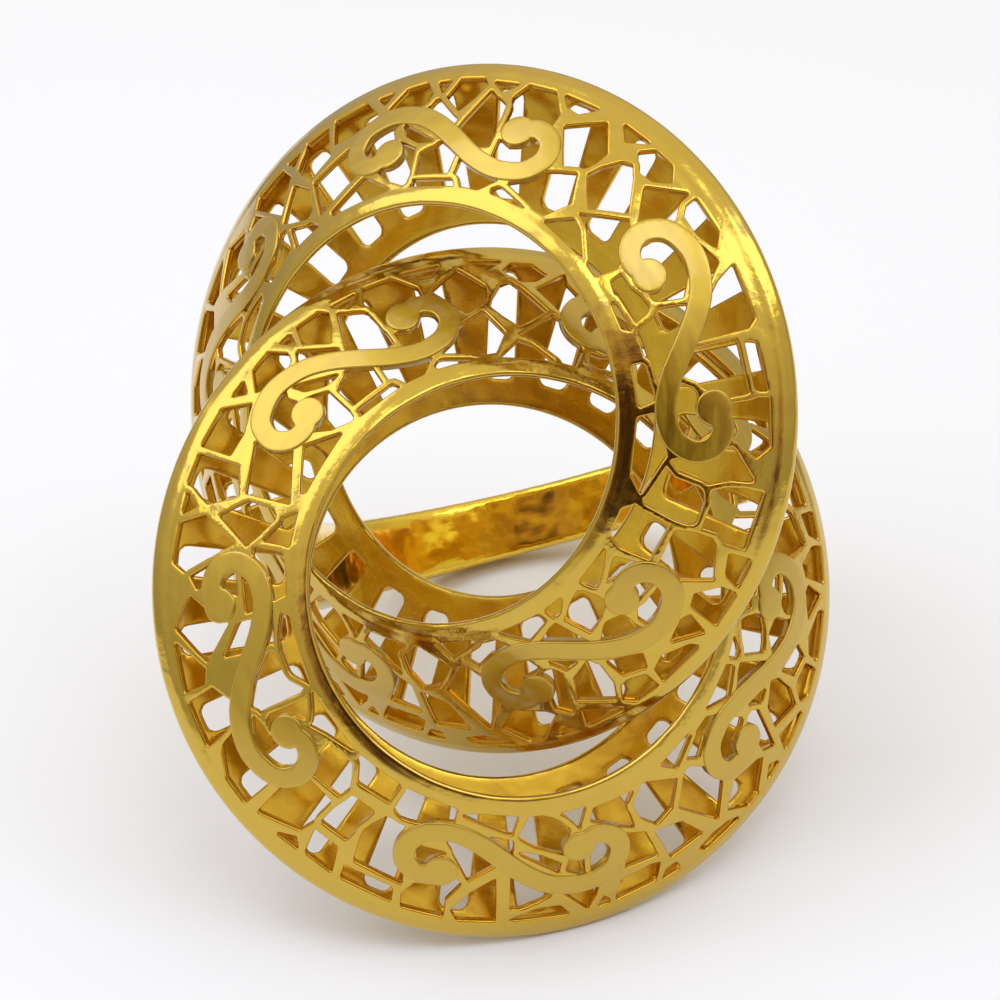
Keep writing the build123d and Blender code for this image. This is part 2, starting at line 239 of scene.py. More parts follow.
        [(-11.7, 84), (-4, 82), (-3.6, 78), (-11.2, 79)],
        [(-28.7, 55), (-27, 79), (-22, 67), (-23.3, 55), (-24.5, 42), (-25.8, 33), (-27.4, 38)],
        [(-20.9, 45), (-18.4, 54), (-16.8, 46), (-10, 45), (-9.6, 36), (-12.5, 31), (-18, 31), (-20.7, 38)],
        [(8, 51), (12, 59), (20, 58), (20, 45), (17.6, 37), (13, 46), (10, 34), (8.8, 38)],
        [(26, 12), (31.5, 23), (34.2, 24), (38.8, 12)],
    ],
]

# the face's section: an arc from the rim's middle to the mouth
RIM_MIDDLE = HOOP_R - SHEET
RIM_FACE_R = RIM_MIDDLE + SHEET * sin(radians(RIM_SLOPE))
RIM_FACE_Z = SHEET * cos(radians(RIM_SLOPE))
DOME_R = (RIM_FACE_R - MOUTH_R) / (sin(radians(RIM_SLOPE)) - sin(radians(MOUTH_SLOPE)))
DOME_X = MOUTH_R - DOME_R * sin(radians(MOUTH_SLOPE))
DOME_Z = RIM_FACE_Z - DOME_R * cos(radians(RIM_SLOPE))
FACE_RISE = DOME_Z + DOME_R * cos(radians(MOUTH_SLOPE))
FACE_COS = (RIM_FACE_R - MOUTH_R) / hypot(RIM_FACE_R - MOUTH_R, FACE_RISE - RIM_FACE_Z)
RIM_PERCENT = (RIM_FACE_R - MOUTH_R) / (HOOP_R - MOUTH_R) * 100
FACE_PERCENTS = np.concatenate([
    np.linspace(0, NET_START, MOUTH_ROWS, endpoint=False),
    np.linspace(NET_START, NET_END, NET_ROWS, endpoint=False),
    np.linspace(NET_END, RIM_PERCENT, RIM_ROWS),
])

# the back's section: a straight run from the rim's middle to its opening
BACK_LEAN = radians(BACK_SLOPE)
BACK_RUN = (RIM_MIDDLE - BACK_R) / cos(BACK_LEAN)
BACK_STEP = BACK_RUN / (BACK_ROWS - 1)


def turn_about(axis, degrees):
    """a turn about one axis"""
    return Matrix.Rotation(radians(degrees), 4, axis)


rest = Matrix.Translation(FOOT) @ turn_about("X", REST_PITCH) @ turn_about("Z", REST_ROLL)
head_turn = turn_about("Z", HEAD_TURN)
hoop_lean = Matrix.Translation((0, HOOP_SHIFT, 0)) @ turn_about("Y", -HOOP_TILT) @ turn_about("X", HOOP_PITCH)
UPPER_PLACE = rest @ head_turn @ hoop_lean
LOWER_PLACE = rest @ head_turn @ turn_about("Z", 180) @ hoop_lean


def radius_of(percent):
    """the face's radius at a percent of the way from the mouth to the rim"""
    return MOUTH_R + (HOOP_R - MOUTH_R) * np.asarray(percent) / 100


def flat(angle, percent):
    """a point of the flattened face, in millimetres"""
    radius = radius_of(percent) / FACE_COS
    turn = np.radians(angle) * FACE_COS
    return np.stack([radius * np.sin(turn), radius * np.cos(turn)], -1)


def line_distance(points, a, b):
    """distance from points to the line from a to b"""
    edge = b - a
    away = points - a
    along = np.clip((away @ edge) / (edge @ edge), 0, 1)
    return np.hypot(*np.moveaxis(away - along[..., None] * edge, -1, 0))


def polygon_distance(points, corners):
    """signed distance from points to a closed outline, negative inside"""
    best = np.full(points.shape[:-1], np.inf)
    inside = np.zeros(points.shape[:-1], bool)
    for a, b in zip(corners, np.roll(corners, -1, 0)):
        best = np.minimum(best, line_distance(points, a, b))
        crosses = (a[1] > points[..., 1]) != (b[1] > points[..., 1])
        with np.errstate(divide="ignore", invalid="ignore"):
            meet = a[0] + (points[..., 1] - a[1]) * (b[0] - a[0]) / (b[1] - a[1])
        inside ^= crosses & (points[..., 0] < meet)
    return np.where(inside, -best, best)


def shrunk(corners, by):
    """a closed outline moved inwards, its sharpest corners held back"""
    least_mitre = 0.25
    following = np.roll(corners, -1, 0)
    before = corners - np.roll(corners, 1, 0)
    after = following - corners
    before /= np.linalg.norm(before, axis=1)[:, None]
    after /= np.linalg.norm(after, axis=1)[:, None]
    side = np.sign(np.sum(corners[:, 0] * following[:, 1] - following[:, 0] * corners[:, 1]))
    first = np.stack([-before[:, 1], before[:, 0]], 1) * side
    second = np.stack([-after[:, 1], after[:, 0]], 1) * side
    middle = (first + second) / np.maximum(1 + np.sum(first * second, 1), least_mitre)[:, None]
    return corners + middle * by


def spline_points(points, steps):
    """a smooth line through points, with so many steps from each to the next"""
    line = np.vstack([2 * points[0] - points[1], points, 2 * points[-1] - points[-2]])
    t = np.linspace(0, 1, steps, endpoint=False)[:, None]
    out = []
    for a, b, c, d in zip(line[:-3], line[1:-2], line[2:-1], line[3:]):
        bend = (2 * a - 5 * b + 4 * c - d) * t**2 + (3 * b - a - 3 * c + d) * t**3
        out.append(0.5 * (2 * b + (c - a) * t + bend))
    return np.vstack(out + [points[-1:]])


def scroll_line():
    """the middle line of a scroll, alike when turned half round"""
    half = [flat(angle, percent) for angle, percent in SCROLL_LINE]
    turned = [flat(-angle, 2 * SCROLL_MIDDLE - percent) for angle, percent in SCROLL_LINE]
    return spline_points(np.array(half + [flat(0, SCROLL_MIDDLE)] + turned[::-1]), LINE_STEPS)


SCROLL = scroll_line()


def scroll_distance(points):
    """signed distance to a scroll's outline on the flattened face, negative inside"""
    best = np.full(points.shape[:-1], np.inf)
    for a, b in zip(SCROLL[:-1], SCROLL[1:]):
        best = np.minimum(best, line_distance(points, a, b))
    best -= STRAP / 2
    for end in (SCROLL[0], SCROLL[-1]):
        best = np.minimum(best, np.hypot(*np.moveaxis(points - end, -1, 0)) - DISC_R)
    return best


def sector_field(angles, holes):
    """how far each grid point is from the nearest hole's edge, negative in a hole; thin struts are widened"""
    points = flat(*np.meshgrid(angles, FACE_PERCENTS, indexing="ij"))
    first = np.full(points.shape[:-1], NO_HOLE)
    second = first.copy()
    for hole in holes:
        corners = np.array([flat(angle, percent) for angle, percent in hole])
        near = np.all((points > corners.min(0) - HOLE_REACH) & (points < corners.max(0) + HOLE_REACH), -1)
        away = polygon_distance(points[near], shrunk(corners, HOLE_CORNER - HOLE_GROWTH)) - HOLE_CORNER
        second[near] = np.minimum(second[near], np.maximum(first[near], away))
        first[near] = np.minimum(first[near], away)
    field = first + np.maximum(0, STRUT_HALF - (first + second) / 2)
    return np.maximum(field, -(scroll_distance(points) + SCROLL_LAP))


def turned_hole(hole, by):
    """a hole turned by so many degrees"""
    return [(angle + by, percent) for angle, percent in hole]


def net_field():
    """the whole face's field, sector by sector, with the holes that reach in from the sectors beside each"""
    fields = []
    steps = COLUMNS // SECTORS
    angles = np.arange(steps) * SECTOR / steps + START_ANGLE
    for k in range(SECTORS):
        following, previous = HOLES[(k + 1) % SECTORS], HOLES[k - 1]
        after = [turned_hole(hole, SECTOR) for hole in following if min(hole)[0] < -REACHING_ANGLE]
        before = [turned_hole(hole, -SECTOR) for hole in previous if max(hole)[0] > REACHING_ANGLE]
        fields.append(sector_field(angles, HOLES[k] + after + before))
    return np.vstack(fields)


def slopes(field, ring):
    """the field's slope along rows and along columns"""
    if ring:
        return (np.roll(field, -1, 0) - np.roll(field, 1, 0)) / 2, np.gradient(field, axis=1)
    return np.gradient(field, axis=0), np.gradient(field, axis=1)


def snapped(field, ring):
    """a grid's places as rows and columns, those near the field's edge moved onto it, and which were moved"""
    rows, cols = field.shape
    grid = np.moveaxis(np.indices((rows, cols), dtype=float), 0, -1)
    slope = np.stack(slopes(field, ring), -1)
    steep = slope[..., 0]**2 + slope[..., 1]**2 + TINY
    move = -field[..., None] * slope / steep[..., None]
    near = (np.hypot(move[..., 0], move[..., 1]) < SNAP) & (steep > LEAST_STEEP)
    near[:, 0] = near[:, -1] = False
    return (grid + np.where(near[..., None], move, 0)).reshape(-1, 2), near


def clipped(loop, live, cut):
    """the live part of a grid square, where cut gives the place between a live corner and one that isn't"""
    part = []
    for n, corner in enumerate(loop):
        m = (n + 1) % len(loop)
        if live[n]:
            part.append(corner)
        if live[n] and not live[m]:
            part.append(cut(corner, loop[m]))
        if live[m] and not live[n]:
            part.append(cut(loop[m], corner))
    return [v for n, v in enumerate(part) if v != part[n - 1]]


def trimmed(places, faces):
    """the places that faces use, with those faces and their open edges numbered anew"""
    seen = {(face[n - 1], face[n]) for face in faces for n in range(len(face))}
    open_edges = [(a, b) for a, b in sorted(seen) if (b, a) not in seen]
    used = np.zeros(len(places), bool)
    used[[v for face in faces for v in face]] = True
    number = np.cumsum(used) - 1
    faces = [tuple(int(number[v]) for v in face) for face in faces]
    return places[used], faces, [(int(number[a]), int(number[b])) for a, b in open_edges]


def marched(field, ring):
    """Cuts a grid where the field changes sign. Gives places as rows and columns, faces and open edges."""
    rows, cols = field.shape
    place, snap = snapped(field, ring)
    inside = (field > 0) | snap
    cuts, extra, faces = {}, [], []

    def cut(a, b):
        """the place where the field changes sign between a, which is inside, and b"""
        if snap.flat[a]:
            return a
        if (a, b) not in cuts:
            share = field.flat[a] / (field.flat[a] - field.flat[b])
            there = place[b].copy()
            if ring and abs(there[0] - place[a][0]) > rows / 2:
                there[0] += rows if there[0] < place[a][0] else -rows
            cuts[a, b] = len(place) + len(extra)
            extra.append(place[a] + (there - place[a]) * share)
        return cuts[a, b]

    for i in range(rows if ring else rows - 1):
        k = (i + 1) % rows
        for j in range(cols - 1):
            loop = (i * cols + j, k * cols + j, k * cols + j + 1, i * cols + j + 1)
            face = clipped(loop, [inside.flat[v] for v in loop], cut)
            if len(set(face)) > 2:
                faces.append(tuple(face))
    return trimmed(np.vstack([place, np.array(extra).reshape(-1, 2)]), faces)


def sampled(field, places, ring):
    """the field's slope at places between grid points, as row and column parts"""
    rows, cols = field.shape
    low_row = np.floor(places[:, 0]).astype(int)
    col = np.clip(np.floor(places[:, 1]).astype(int), 0, cols - 2)
    past_row, past_col = places[:, 0] - low_row, places[:, 1] - col
    if ring:
        a, b = low_row % rows, (low_row + 1) % rows
    else:
        a = np.clip(low_row, 0, rows - 2)
        b = a + 1
    out = []
    for slope in slopes(field, ring):
        near = slope[a, col] * (1 - past_row) + slope[b, col] * past_row
        far = slope[a, col + 1] * (1 - past_row) + slope[b, col + 1] * past_row
        out.append(near * (1 - past_col) + far * past_col)
    return np.stack(out, -1)


def vertex_places(mesh):
    """the places of a mesh's vertices"""
    places = np.empty(len(mesh.vertices) * 3)
    mesh.vertices.foreach_get("co", places)
    return places.reshape(-1, 3)


def swept(mesh, columns):
    """Keeps for each vertex where it is along the metal's sweep and across it, and shades the mesh smooth."""
    sweep = mesh.attributes.new("sweep", "FLOAT_VECTOR", "POINT")
    sweep.data.foreach_set("vector", np.stack(columns, -1).ravel())
    mesh.polygons.foreach_set("use_smooth", [True] * len(mesh.polygons))
    mesh.set_sharp_from_angle(angle=radians(SHARP_ANGLE))


class Builder:
    """gathers the vertices and faces of one mesh in millimetres, each face with its material's number"""

    def __init__(self):
        self.points, self.faces, self.kinds, self.count = [], [], [], 0

    def add(self, points, faces, kinds):
        """takes in points and faces, with one material's number for all the faces or one for each"""
        self.points.append(np.asarray(points, float))
        self.faces += [tuple(v + self.count for v in face) for face in faces]
        self.kinds += kinds if isinstance(kinds, list) else [kinds] * len(faces)
        self.count += len(points)

    def mesh(self, name):
        """one closed mesh, its meeting borders welded"""
        mesh = bpy.data.meshes.new(name)
        mesh.from_pydata(np.vstack(self.points).tolist(), [], self.faces)
        mesh.polygons.foreach_set("material_index", self.kinds)
        form = bmesh.new()
        form.from_mesh(mesh)
        bmesh.ops.remove_doubles(form, verts=form.verts, dist=WELD)
        bmesh.ops.recalc_face_normals(form, faces=form.faces)
        form.to_mesh(mesh)
        form.free()
        x, y, z = vertex_places(mesh).T
        far = np.hypot(x, y)
        swept(mesh, [x / far * SWEEP_R, y / far * SWEEP_R, (far - SWEEP_LEAN * z) * SWEEP_ACROSS])
        return mesh


def azimuth_at(places, steps):
    """the azimuth of places counted in steps round a hoop"""
    return np.radians(places * 360 / steps + START_ANGLE)


def around(radius, height, azimuth):
    """places at a radius and a height, turned about the hoop's axis"""
    return np.stack(np.broadcast_arrays(radius * np.cos(azimuth), radius * np.sin(azimuth), height), -1)


def cut_borders(places, open_edges, cols):
    """the open edges that are not along the grid's first or last column"""
    first, last = places[:, 1] < NEARLY, places[:, 1] > cols - 1 - NEARLY
    return [(a, b) for a, b in open_edges if not (first[a] and first[b] or last[a] and last[b])]


def pierced(builder, field, to_mm, to_space, ring, depth, edge, kinds):
    """A sheet cut where the field is negative, its cut edges rounded.

    to_mm gives the size of a grid step at places on the grid. to_space puts the places in space, at a depth.
    kinds are the material numbers of the skin, of the cut walls and of the under side."""
    top, wall, bottom = kinds
    places, faces, open_edges = marched(field - edge, ring)
    cut_edges = cut_borders(places, open_edges, field.shape[1])
    scale = to_mm(places)
    slope = sampled(field, places, ring) / scale
    outward = -slope / np.maximum(np.linalg.norm(slope, axis=1), NEARLY)[:, None] / scale
    border = sorted({v for e in cut_edges for v in e})
    count, width = len(places), len(border)
    levels = [(out * edge, down * edge) for out, down in ROUNDING] + [(edge, depth - UNDER_GAP * edge)]
    sheets = [to_space(places, 0), to_space(places, depth)]
    sheets += [to_space(places + outward * out, down)[border] for out, down in levels]
    rings = [{v: v for v in border}]
    rings += [{v: 2 * count + k * width + n for n, v in enumerate(border)} for k in range(len(levels))]
    rings += [{v: v + count for v in border}]
    band = [(near[b], near[a], far[a], far[b]) for near, far in zip(rings, rings[1:]) for a, b in cut_edges]
    under = [tuple(v + count for v in reversed(face)) for face in faces]
    numbers = [top] * len(faces) + [bottom] * len(under) + [wall] * len(band)
    builder.add(np.vstack(sheets), faces + under + band, numbers)


def revolved(builder, profile, steps, kind):
    """a profile of radius and height turned about the hoop's axis"""
    profile = np.asarray(profile)
    points = around(profile[:, 0], profile[:, 1], azimuth_at(np.arange(steps), steps)[:, None])
    n = len(profile)
    faces = [(i * n + j, (i + 1) % steps * n + j, (i + 1) % steps * n + j + 1, i * n + j + 1)
             for i in range(steps) for j in range(n - 1)]
    builder.add(points.reshape(-1, 3), faces, kind)


def half_round(middle, out, along):
    """the profile of a sheet's rounded edge, from its skin to its under side"""
    return [middle + SHEET / 2 * (out * cos(a) + along * sin(a)) for a in np.linspace(0, pi, LIP_STEPS)]


def dome(azimuth, radius, down):
    """a point of the domed face, by azimuth and by radius on its skin, at a depth below the skin"""
    lean = np.arcsin((radius - DOME_X) / DOME_R)
    return around(DOME_X + (DOME_R - down) * np.sin(lean), DOME_Z + (DOME_R - down) * np.cos(lean), azimuth)


def bead(percents):
    """how far the two smooth margins swell above the net"""
    mouth = np.clip(percents / NET_START, 0, 1)
    rim = np.clip((percents - RIM_BEAD_START) / (RIM_PERCENT - RIM_BEAD_START), 0, 1)
    return MOUTH_BEAD * np.sin(pi * mouth) ** 2 + RIM_BEAD * np.sin(pi * rim) ** 2


def face_net(builder):
    """the domed face with its net of holes"""
    rows = np.arange(len(FACE_PERCENTS), dtype=float)

    def percent_at(columns):
        return np.interp(columns, rows, FACE_PERCENTS)

    def to_space(places, down):
        percents = percent_at(places[:, 1])
        return dome(azimuth_at(places[:, 0], COLUMNS), radius_of(percents), down - bead(percents))

    def to_mm(places):
        low = np.clip(np.floor(places[:, 1]), 0, len(rows) - 2)
        round_step = radius_of(percent_at(places[:, 1])) * 2 * pi / COLUMNS
        row_step = (radius_of(percent_at(low + 1)) - radius_of(percent_at(low))) / FACE_COS
        return np.stack([round_step, row_step], -1)

    pierced(builder, net_field(), to_mm, to_space, True, SHEET, STRUT_ROUND, (NET, WALL, INSIDE))


def face_edges(builder):
    """the rounded rim and the rounded edge of the mouth"""
    arc = np.linspace(pi / 2 - radians(RIM_SLOPE), -pi / 2 + BACK_LEAN, RIM_STEPS)
    rim = [(RIM_MIDDLE + SHEET * cos(a), SHEET * sin(a)) for a in arc]
    revolved(builder, rim + [(RIM_MIDDLE, 0)], COLUMNS, RIM)
    lean = radians(MOUTH_SLOPE)
    out, along = np.array([sin(lean), cos(lean)]), np.array([-cos(lean), sin(lean)])
    middle = np.array([DOME_X, DOME_Z]) + (DOME_R - SHEET / 2) * out
    revolved(builder, half_round(middle, out, along), COLUMNS, RIM)


def face_mesh():
    """a hoop's domed face with its net and its rounded edges"""
    builder = Builder()
    face_net(builder)
    face_edges(builder)
    return builder.mesh("face")


def scroll_mesh():
    """the raised straps of the five scrolls, a little deeper than the sheet"""
    builder = Builder()
    angles = np.arange(-SCROLL_ANGLE, SCROLL_ANGLE + SCROLL_ANGLE_STEP / 2, SCROLL_ANGLE_STEP)
    percents = np.arange(SCROLL_LOW, SCROLL_HIGH, SCROLL_PERCENT_STEP)
    field = -scroll_distance(flat(*np.meshgrid(angles, percents, indexing="ij")))
    row_step = SCROLL_PERCENT_STEP / 100 * (HOOP_R - MOUTH_R) / FACE_COS

    def radius_at(columns):
        return radius_of(SCROLL_LOW + SCROLL_PERCENT_STEP * columns)

    def to_mm(places):
        round_step = radius_at(places[:, 1]) * radians(SCROLL_ANGLE_STEP)
        return np.stack([round_step, np.full(len(places), row_step)], -1)

    for k in range(SECTORS):
        def to_space(places, down):
            azimuth = np.radians(SCROLL_ANGLE_STEP * places[:, 0] - SCROLL_ANGLE + SECTOR * k)
            return dome(azimuth, radius_at(places[:, 1]), down - SCROLL_RISE)
        depth = SHEET + SCROLL_RISE + SCROLL_SINK
        pierced(builder, field, to_mm, to_space, False, depth, SCROLL_ROUND, (SATIN, SATIN, SATIN))
    return builder.mesh("scrolls")


def slot_field():
    """how far each point of the back's grid is from the nearest slot's edge, negative in a slot"""
    azimuths = azimuth_at(np.arange(BACK_COLUMNS), BACK_COLUMNS)
    radii = RIM_MIDDLE - np.linspace(0, BACK_RUN, BACK_ROWS) * cos(BACK_LEAN)
    azimuth, radius = np.meshgrid(azimuths, radii, indexing="ij")
    pitch = 2 * pi / SLOTS
    local = (azimuth - radians(SLOT_START) + pitch / 2) % pitch - pitch / 2
    x = np.abs(radius * np.cos(local) - (SLOT_INNER_R + SLOT_OUTER_R) / 2) - (SLOT_OUTER_R - SLOT_INNER_R) / 2
    y = np.abs(radius * np.sin(local)) - SLOT_W / 2
    x, y = x + SLOT_CORNER, y + SLOT_CORNER
    return np.hypot(np.maximum(x, 0), np.maximum(y, 0)) + np.minimum(np.maximum(x, y), 0) - SLOT_CORNER


def back_slots(builder):
    """the nearly flat back with its ring of slots"""
    def to_space(places, down):
        far = places[:, 1] * BACK_STEP
        rise = SHEET - down
        radius = RIM_MIDDLE - far * cos(BACK_LEAN) + rise * sin(BACK_LEAN)
        height = -far * sin(BACK_LEAN) - rise * cos(BACK_LEAN)
        return around(radius, height, azimuth_at(places[:, 0], BACK_COLUMNS))

    def to_mm(places):
        radius = RIM_MIDDLE - places[:, 1] * BACK_STEP * cos(BACK_LEAN)
        return np.stack([radius * 2 * pi / BACK_COLUMNS, np.full(len(places), BACK_STEP)], -1)

    pierced(builder, slot_field(), to_mm, to_space, True, SHEET, SLOT_ROUND, (NET, WALL, INSIDE))


def back_edges(builder):
    """the rounded edge of the back's opening and the strip that closes it under the rim"""
    out, along = np.array([sin(BACK_LEAN), -cos(BACK_LEAN)]), np.array([-cos(BACK_LEAN), -sin(BACK_LEAN)])
    rim = np.array([RIM_MIDDLE, 0])
    middle = rim + BACK_RUN * along + SHEET / 2 * out
    revolved(builder, half_round(middle, out, along), BACK_COLUMNS, RIM)
    revolved(builder, [rim + SHEET * out, rim], BACK_COLUMNS, RIM)


def back_mesh():
    """a hoop's slotted back"""
    builder = Builder()
    back_slots(builder)
    back_edges(builder)
    return builder.mesh("back")


def noise(tree, vector, scale, detail):
    """a noise over a vector, about 0.5 on average"""
    texture = tree.nodes.new("ShaderNodeTexNoise")
    texture.inputs["Scale"].default_value = scale
    texture.inputs["Detail"].default_value = detail
    tree.links.new(vector, texture.inputs["Vector"])
    return texture.outputs["Fac"]


def mapped(tree, value, start, end, low, high):
    """a value's range from start to end, stretched from low to high"""
    node = tree.nodes.new("ShaderNodeMapRange")
    node.inputs["From Min"].default_value = start
    node.inputs["From Max"].default_value = end
    node.inputs["To Min"].default_value = low
    node.inputs["To Max"].default_value = high
    tree.links.new(value, node.inputs["Value"])
    return node.outputs["Result"]


def spread(tree, value, low, high):
    """a noise's middle range stretched from low to high"""
    return mapped(tree, value, NOISE_LOW, NOISE_HIGH, low, high)


def times(tree, first, second):
    """one value times another"""
    node = tree.nodes.new("ShaderNodeMath")
    node.operation = "MULTIPLY"
    tree.links.new(first, node.inputs[0])
    tree.links.new(second, node.inputs[1])
    return node.outputs["Value"]


def shaded(tree, value, colour):
    """a colour, a little deeper where a noise is low"""
    ramp = tree.nodes.new("ShaderNodeValToRGB")
    deep, full = ramp.color_ramp.elements
    deep.position, full.position = DEEPER_AT, FULL_AT
    deep.color = (*(part * depth for part, depth in zip(colour, DEEPER)), 1)
    full.color = (*colour, 1)
    tree.links.new(value, ramp.inputs["Fac"])
    return ramp.outputs["Color"]


def bumped(tree, layers):
    """a surface's normal under several layers, each a value and its height in micrometres"""
    normal = None
    for height, micrometres in layers:
        node = tree.nodes.new("ShaderNodeBump")
        node.inputs["Distance"].default_value = micrometres * 1e-6
        tree.links.new(height, node.inputs["Height"])
        if normal:
            tree.links.new(normal, node.inputs["Normal"])
        normal = node.outputs["Normal"]
    return normal


def gold(name, colour, rough, coat, wave, streak, grain, pit):
    """gold with slow waves, fine streaks along its sweep, grain and patches of cast pits, in micrometres"""
    material = bpy.data.materials.new(name)
    material.use_nodes = True
    tree = material.node_tree
    shader = tree.nodes["Principled BSDF"]
    shader.inputs["Metallic"].default_value = 1.0
    shader.inputs["Coat Weight"].default_value = coat
    shader.inputs["Coat Roughness"].default_value = COAT_ROUGH
    place = tree.nodes.new("ShaderNodeTexCoord").outputs["Object"]
    sweep = tree.nodes.new("ShaderNodeAttribute")
    sweep.attribute_name = "sweep"
    waves = noise(tree, place, *WAVE_NOISE)
    streaks = noise(tree, sweep.outputs["Vector"], *STREAK_NOISE)
    grains = noise(tree, place, *GRAIN_NOISE)
    patches = spread(tree, noise(tree, place, *PATCH_NOISE), 0, 1)
    pits = times(tree, noise(tree, place, *PIT_NOISE), patches)
    normal = bumped(tree, [(waves, wave), (streaks, streak), (grains, grain), (pits, pit)])
    roughness = spread(tree, streaks, rough * LEAST_ROUGH, rough * MOST_ROUGH)
    tree.links.new(shaded(tree, streaks, colour), shader.inputs["Base Color"])
    tree.links.new(roughness, shader.inputs["Roughness"])
    tree.links.new(normal, shader.inputs["Normal"])
    return material


def net_gold():
    """the polished skin of the faces and of the backs"""
    return gold("net_gold", (0.60, 0.40, 0.028), 0.15, coat=1.0, wave=110, streak=6, grain=0.7, pit=20)


def wall_gold():
    """the cut walls of holes and slots"""
    return gold("wall_gold", (0.70, 0.41, 0.030), 0.22, coat=0.3, wave=60, streak=5, grain=0.7, pit=10)


def inside_painted_light_gold():
    """the gold of the sheets' inner sides, its base colour painted brighter than the skin's as painted light
    in the hollows
    """
    return gold("inside_painted_light_gold", (0.80, 0.51, 0.034), 0.24, coat=0.4, wave=130, streak=4, grain=0.4, pit=10)


def satin_gold():
    """the brushed scrolls"""
    return gold("satin_gold", (0.585, 0.385, 0.028), 0.35, coat=1.0, wave=60, streak=1.5, grain=1.8, pit=5)


def rim_gold():
    """the polished rounded edges"""
    return gold("rim_gold", (0.61, 0.405, 0.028), 0.13, coat=1.0, wave=150, streak=8, grain=0.5, pit=12)


def band_gold():
    """the finger band's polished outside and edges, its gold painted brighter than the hoops' as painted
    light
    """
    return gold("band_gold", (0.78, 0.525, 0.045), 0.17, coat=0.75, wave=130, streak=6, grain=0.4, pit=8)


def bore_painted_light_gold():
    """the uneven polish inside the finger band, its gold painted brighter than the outside's as painted light
    and reflection
    """
    return gold("bore_painted_light_gold", (1.0, 0.67, 0.036), 0.14, coat=0.75, wave=210, streak=6, grain=0.4, pit=8)


def laid(mesh, node, place):
    """a copy of a hoop's mesh, put in its place for a node of the solids"""
    own = mesh.copy()
    own.name = node + "_" + mesh.name
    own.transform(Matrix.Scale(1 / MM_PER_M, 4) @ place)
    piece = bpy.data.objects.new(own.name, own)
    bpy.context.scene.collection.objects.link(piece)
    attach(piece, "root")
    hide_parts(node)


def hoops():
    """both hoops, each as a pierced face, its scrolls and a slotted back"""
    meshes = [face_mesh(), scroll_mesh(), back_mesh()]
    # the inner sides' gold is painted brighter than the skin's gold, as painted light in the hollows
    golds = [net_gold(), wall_gold(), inside_painted_light_gold(), satin_gold(), rim_gold()]
    for mesh in meshes:
        for material in golds:
            mesh.materials.append(material)
    sides = (("lower_hoop", LOWER_PLACE, LOWER_FACE_TURN), ("upper_hoop", UPPER_PLACE, UPPER_FACE_TURN))
    for node, place, turn in sides:
        face_place = place @ turn_about("Z", turn)
        for mesh, where in zip(meshes, (face_place, face_place, place)):
            laid(mesh, node, where)


def rounded_band():
    """a fine and even copy of the band's solid, its bevels softened round"""
    piece = bpy.data.objects.new("finger_shank", bpy.data.objects["finger_band"].data.copy())
    bpy.context.scene.collection.objects.link(piece)
    remesh = piece.modifiers.new("even", "REMESH")
    remesh.mode = "VOXEL"
    remesh.voxel_size = VOXEL_M
    soften = piece.modifiers.new("soft", "SMOOTH")
    soften.factor = SOFTENING
    soften.iterations = SOFTENINGS
    view = bpy.context.evaluated_depsgraph_get()
    mesh = bpy.data.meshes.new_from_object(piece.evaluated_get(view))
    piece.modifiers.clear()
    piece.data = mesh
    return piece


def shank():
    """the finger band, its inner side in a gold painted brighter than the outside's, as painted light"""
    piece = rounded_band()
    mesh = piece.data
    turn = np.array(rest.inverted())
    x, y, z = (vertex_places(mesh) * MM_PER_M @ turn[:3, :3].T + turn[:3, 3]).T
    swept(mesh, [x, z, y * SWEEP_ACROSS])
    # the faces of the band's inner side, which get the gold painted brighter as painted light
    painted_light_bore = np.hypot(x, np.minimum(z + FINGER_DROP, 0)) < FINGER_R + BAND_EDGE / 2
    kinds = [int(painted_light_bore[list(part.vertices)].all()) for part in mesh.polygons]
    mesh.materials.clear()
    mesh.materials.append(band_gold())
    mesh.materials.append(bore_painted_light_gold())
    mesh.polygons.foreach_set("material_index", kinds)
    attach(piece, "root")
    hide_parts("finger_band")


def floor_paint():
    """matt and nearly white"""
    material = bpy.data.materials.new("pale_floor")
    material.use_nodes = True
    shader = material.node_tree.nodes["Principled BSDF"]
    shader.inputs["Base Color"].default_value = (0.955, 0.955, 0.955, 1)
    shader.inputs["Roughness"].default_value = 0.8
    return material


def pale_floor():
    """the table that the ring lies on"""
    bpy.ops.mesh.primitive_plane_add(size=FLOOR_SIZE, location=(0, 0, 0))
    floor = bpy.context.object
    floor.name = "floor"
    floor.data.materials.append(floor_paint())


def camera():
    """a long lens before the picture's frame, which is turned back into the head's and laid down with it"""
    picture = (Matrix.Translation(PICTURE_MIDDLE) @ Matrix.Rotation(PICTURE_YAW, 4, "Y")
               @ Matrix.Rotation(PICTURE_PITCH, 4, "X") @ Matrix.Rotation(PICTURE_ROLL, 4, "Z")
               @ turn_about("Z", -HEAD_TURN))
    place = rest @ picture.inverted() @ Matrix.Translation((0, 0, CAMERA_FAR))
    place.translation = place.translation / MM_PER_M
    data = bpy.data.cameras.new("camera")
    data.sensor_width = SENSOR_W
    data.lens = SENSOR_W * CAMERA_FAR / PICTURE_W
    data.clip_start, data.clip_end = NEAREST_M, FARTHEST_M
    lens = bpy.data.objects.new("camera", data)
    lens.matrix_world = place
    bpy.context.scene.collection.objects.link(lens)
    bpy.context.scene.camera = lens


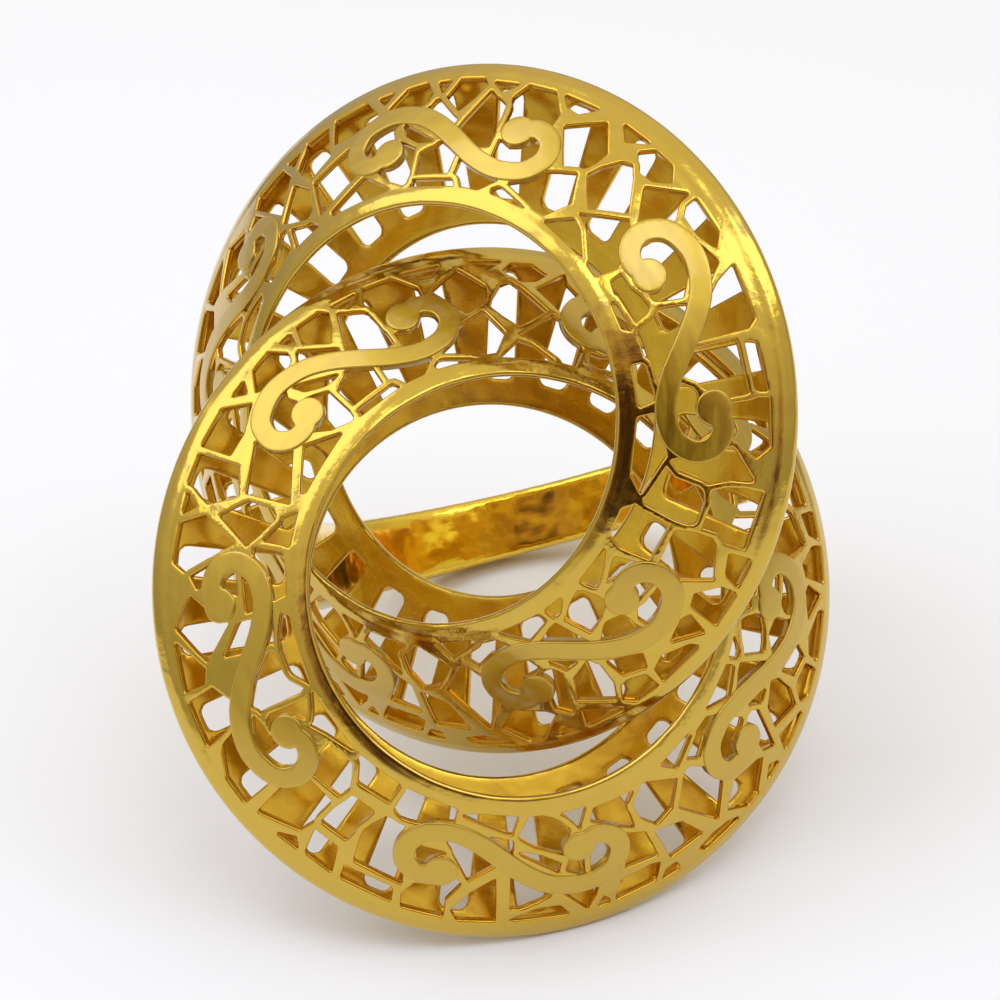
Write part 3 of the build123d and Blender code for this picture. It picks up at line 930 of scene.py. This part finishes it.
def softbox(name, place, size, strength):
    """a square soft light aimed at the ring, its strength as a brightness against the studio's"""
    data = bpy.data.lights.new(name, "AREA")
    data.shape = "SQUARE"
    data.size = size
    data.energy = strength * pi * size**2
    data.color = COOL
    light = bpy.data.objects.new(name, data)
    bpy.context.scene.collection.objects.link(light)
    light.location = place
    light.rotation_mode = "QUATERNION"
    light.rotation_quaternion = (Vector(place) - Vector((0, 0, AIM_HEIGHT))).to_track_quat("Z", "Y")


def mixed(tree, share, first, second):
    """a colour between two, each plain numbers or another node's colour"""
    node = tree.nodes.new("ShaderNodeMixRGB")
    tree.links.new(share, node.inputs["Fac"])
    for colour, end in ((first, node.inputs["Color1"]), (second, node.inputs["Color2"])):
        if isinstance(colour, tuple):
            end.default_value = (*colour, 1)
        else:
            tree.links.new(colour, end)
    return node.outputs["Color"]


def studio():
    """a soft white tent, brighter overhead, with a dim place in front where the camera stands"""
    world = bpy.data.worlds.new("studio")
    bpy.context.scene.world = world
    world.use_nodes = True
    tree = world.node_tree
    way = tree.nodes.new("ShaderNodeTexCoord").outputs["Generated"]
    seen = tree.nodes.new("ShaderNodeLightPath").outputs["Is Camera Ray"]
    height = tree.nodes.new("ShaderNodeSeparateXYZ")
    tree.links.new(way, height.inputs["Vector"])
    sky = mapped(tree, height.outputs["Z"], 0, 1, SIDE_LIGHT, TOP_LIGHT)
    toward = tree.nodes.new("ShaderNodeVectorMath")
    toward.operation = "DOT_PRODUCT"
    toward.inputs[1].default_value = DIM_WAY
    tree.links.new(way, toward.inputs[0])
    edge, core = cos(radians(DIM_EDGE)), cos(radians(DIM_CORE))
    clear = mapped(tree, toward.outputs["Value"], edge, core, 1, DIM_LIGHT)
    shown = tree.nodes.new("ShaderNodeMix")
    shown.inputs["B"].default_value = SEEN_LIGHT
    tree.links.new(seen, shown.inputs["Factor"])
    tree.links.new(times(tree, sky, clear), shown.inputs["A"])
    tint = mixed(tree, seen, mixed(tree, clear, BROWN, WARM), WHITE)
    tree.links.new(shown.outputs["Result"], tree.nodes["Background"].inputs["Strength"])
    tree.links.new(tint, tree.nodes["Background"].inputs["Color"])


hoops()
shank()
pale_floor()
camera()
softbox("top_light", (0.056, -0.097, 0.292), size=0.09, strength=2.5)
softbox("left_light", (-0.160, -0.024, 0.262), size=0.22, strength=1.35)
softbox("right_light", (0.178, -0.048, 0.250), size=0.12, strength=1.85)
studio()
bpy.context.scene.view_settings.view_transform = "Standard"
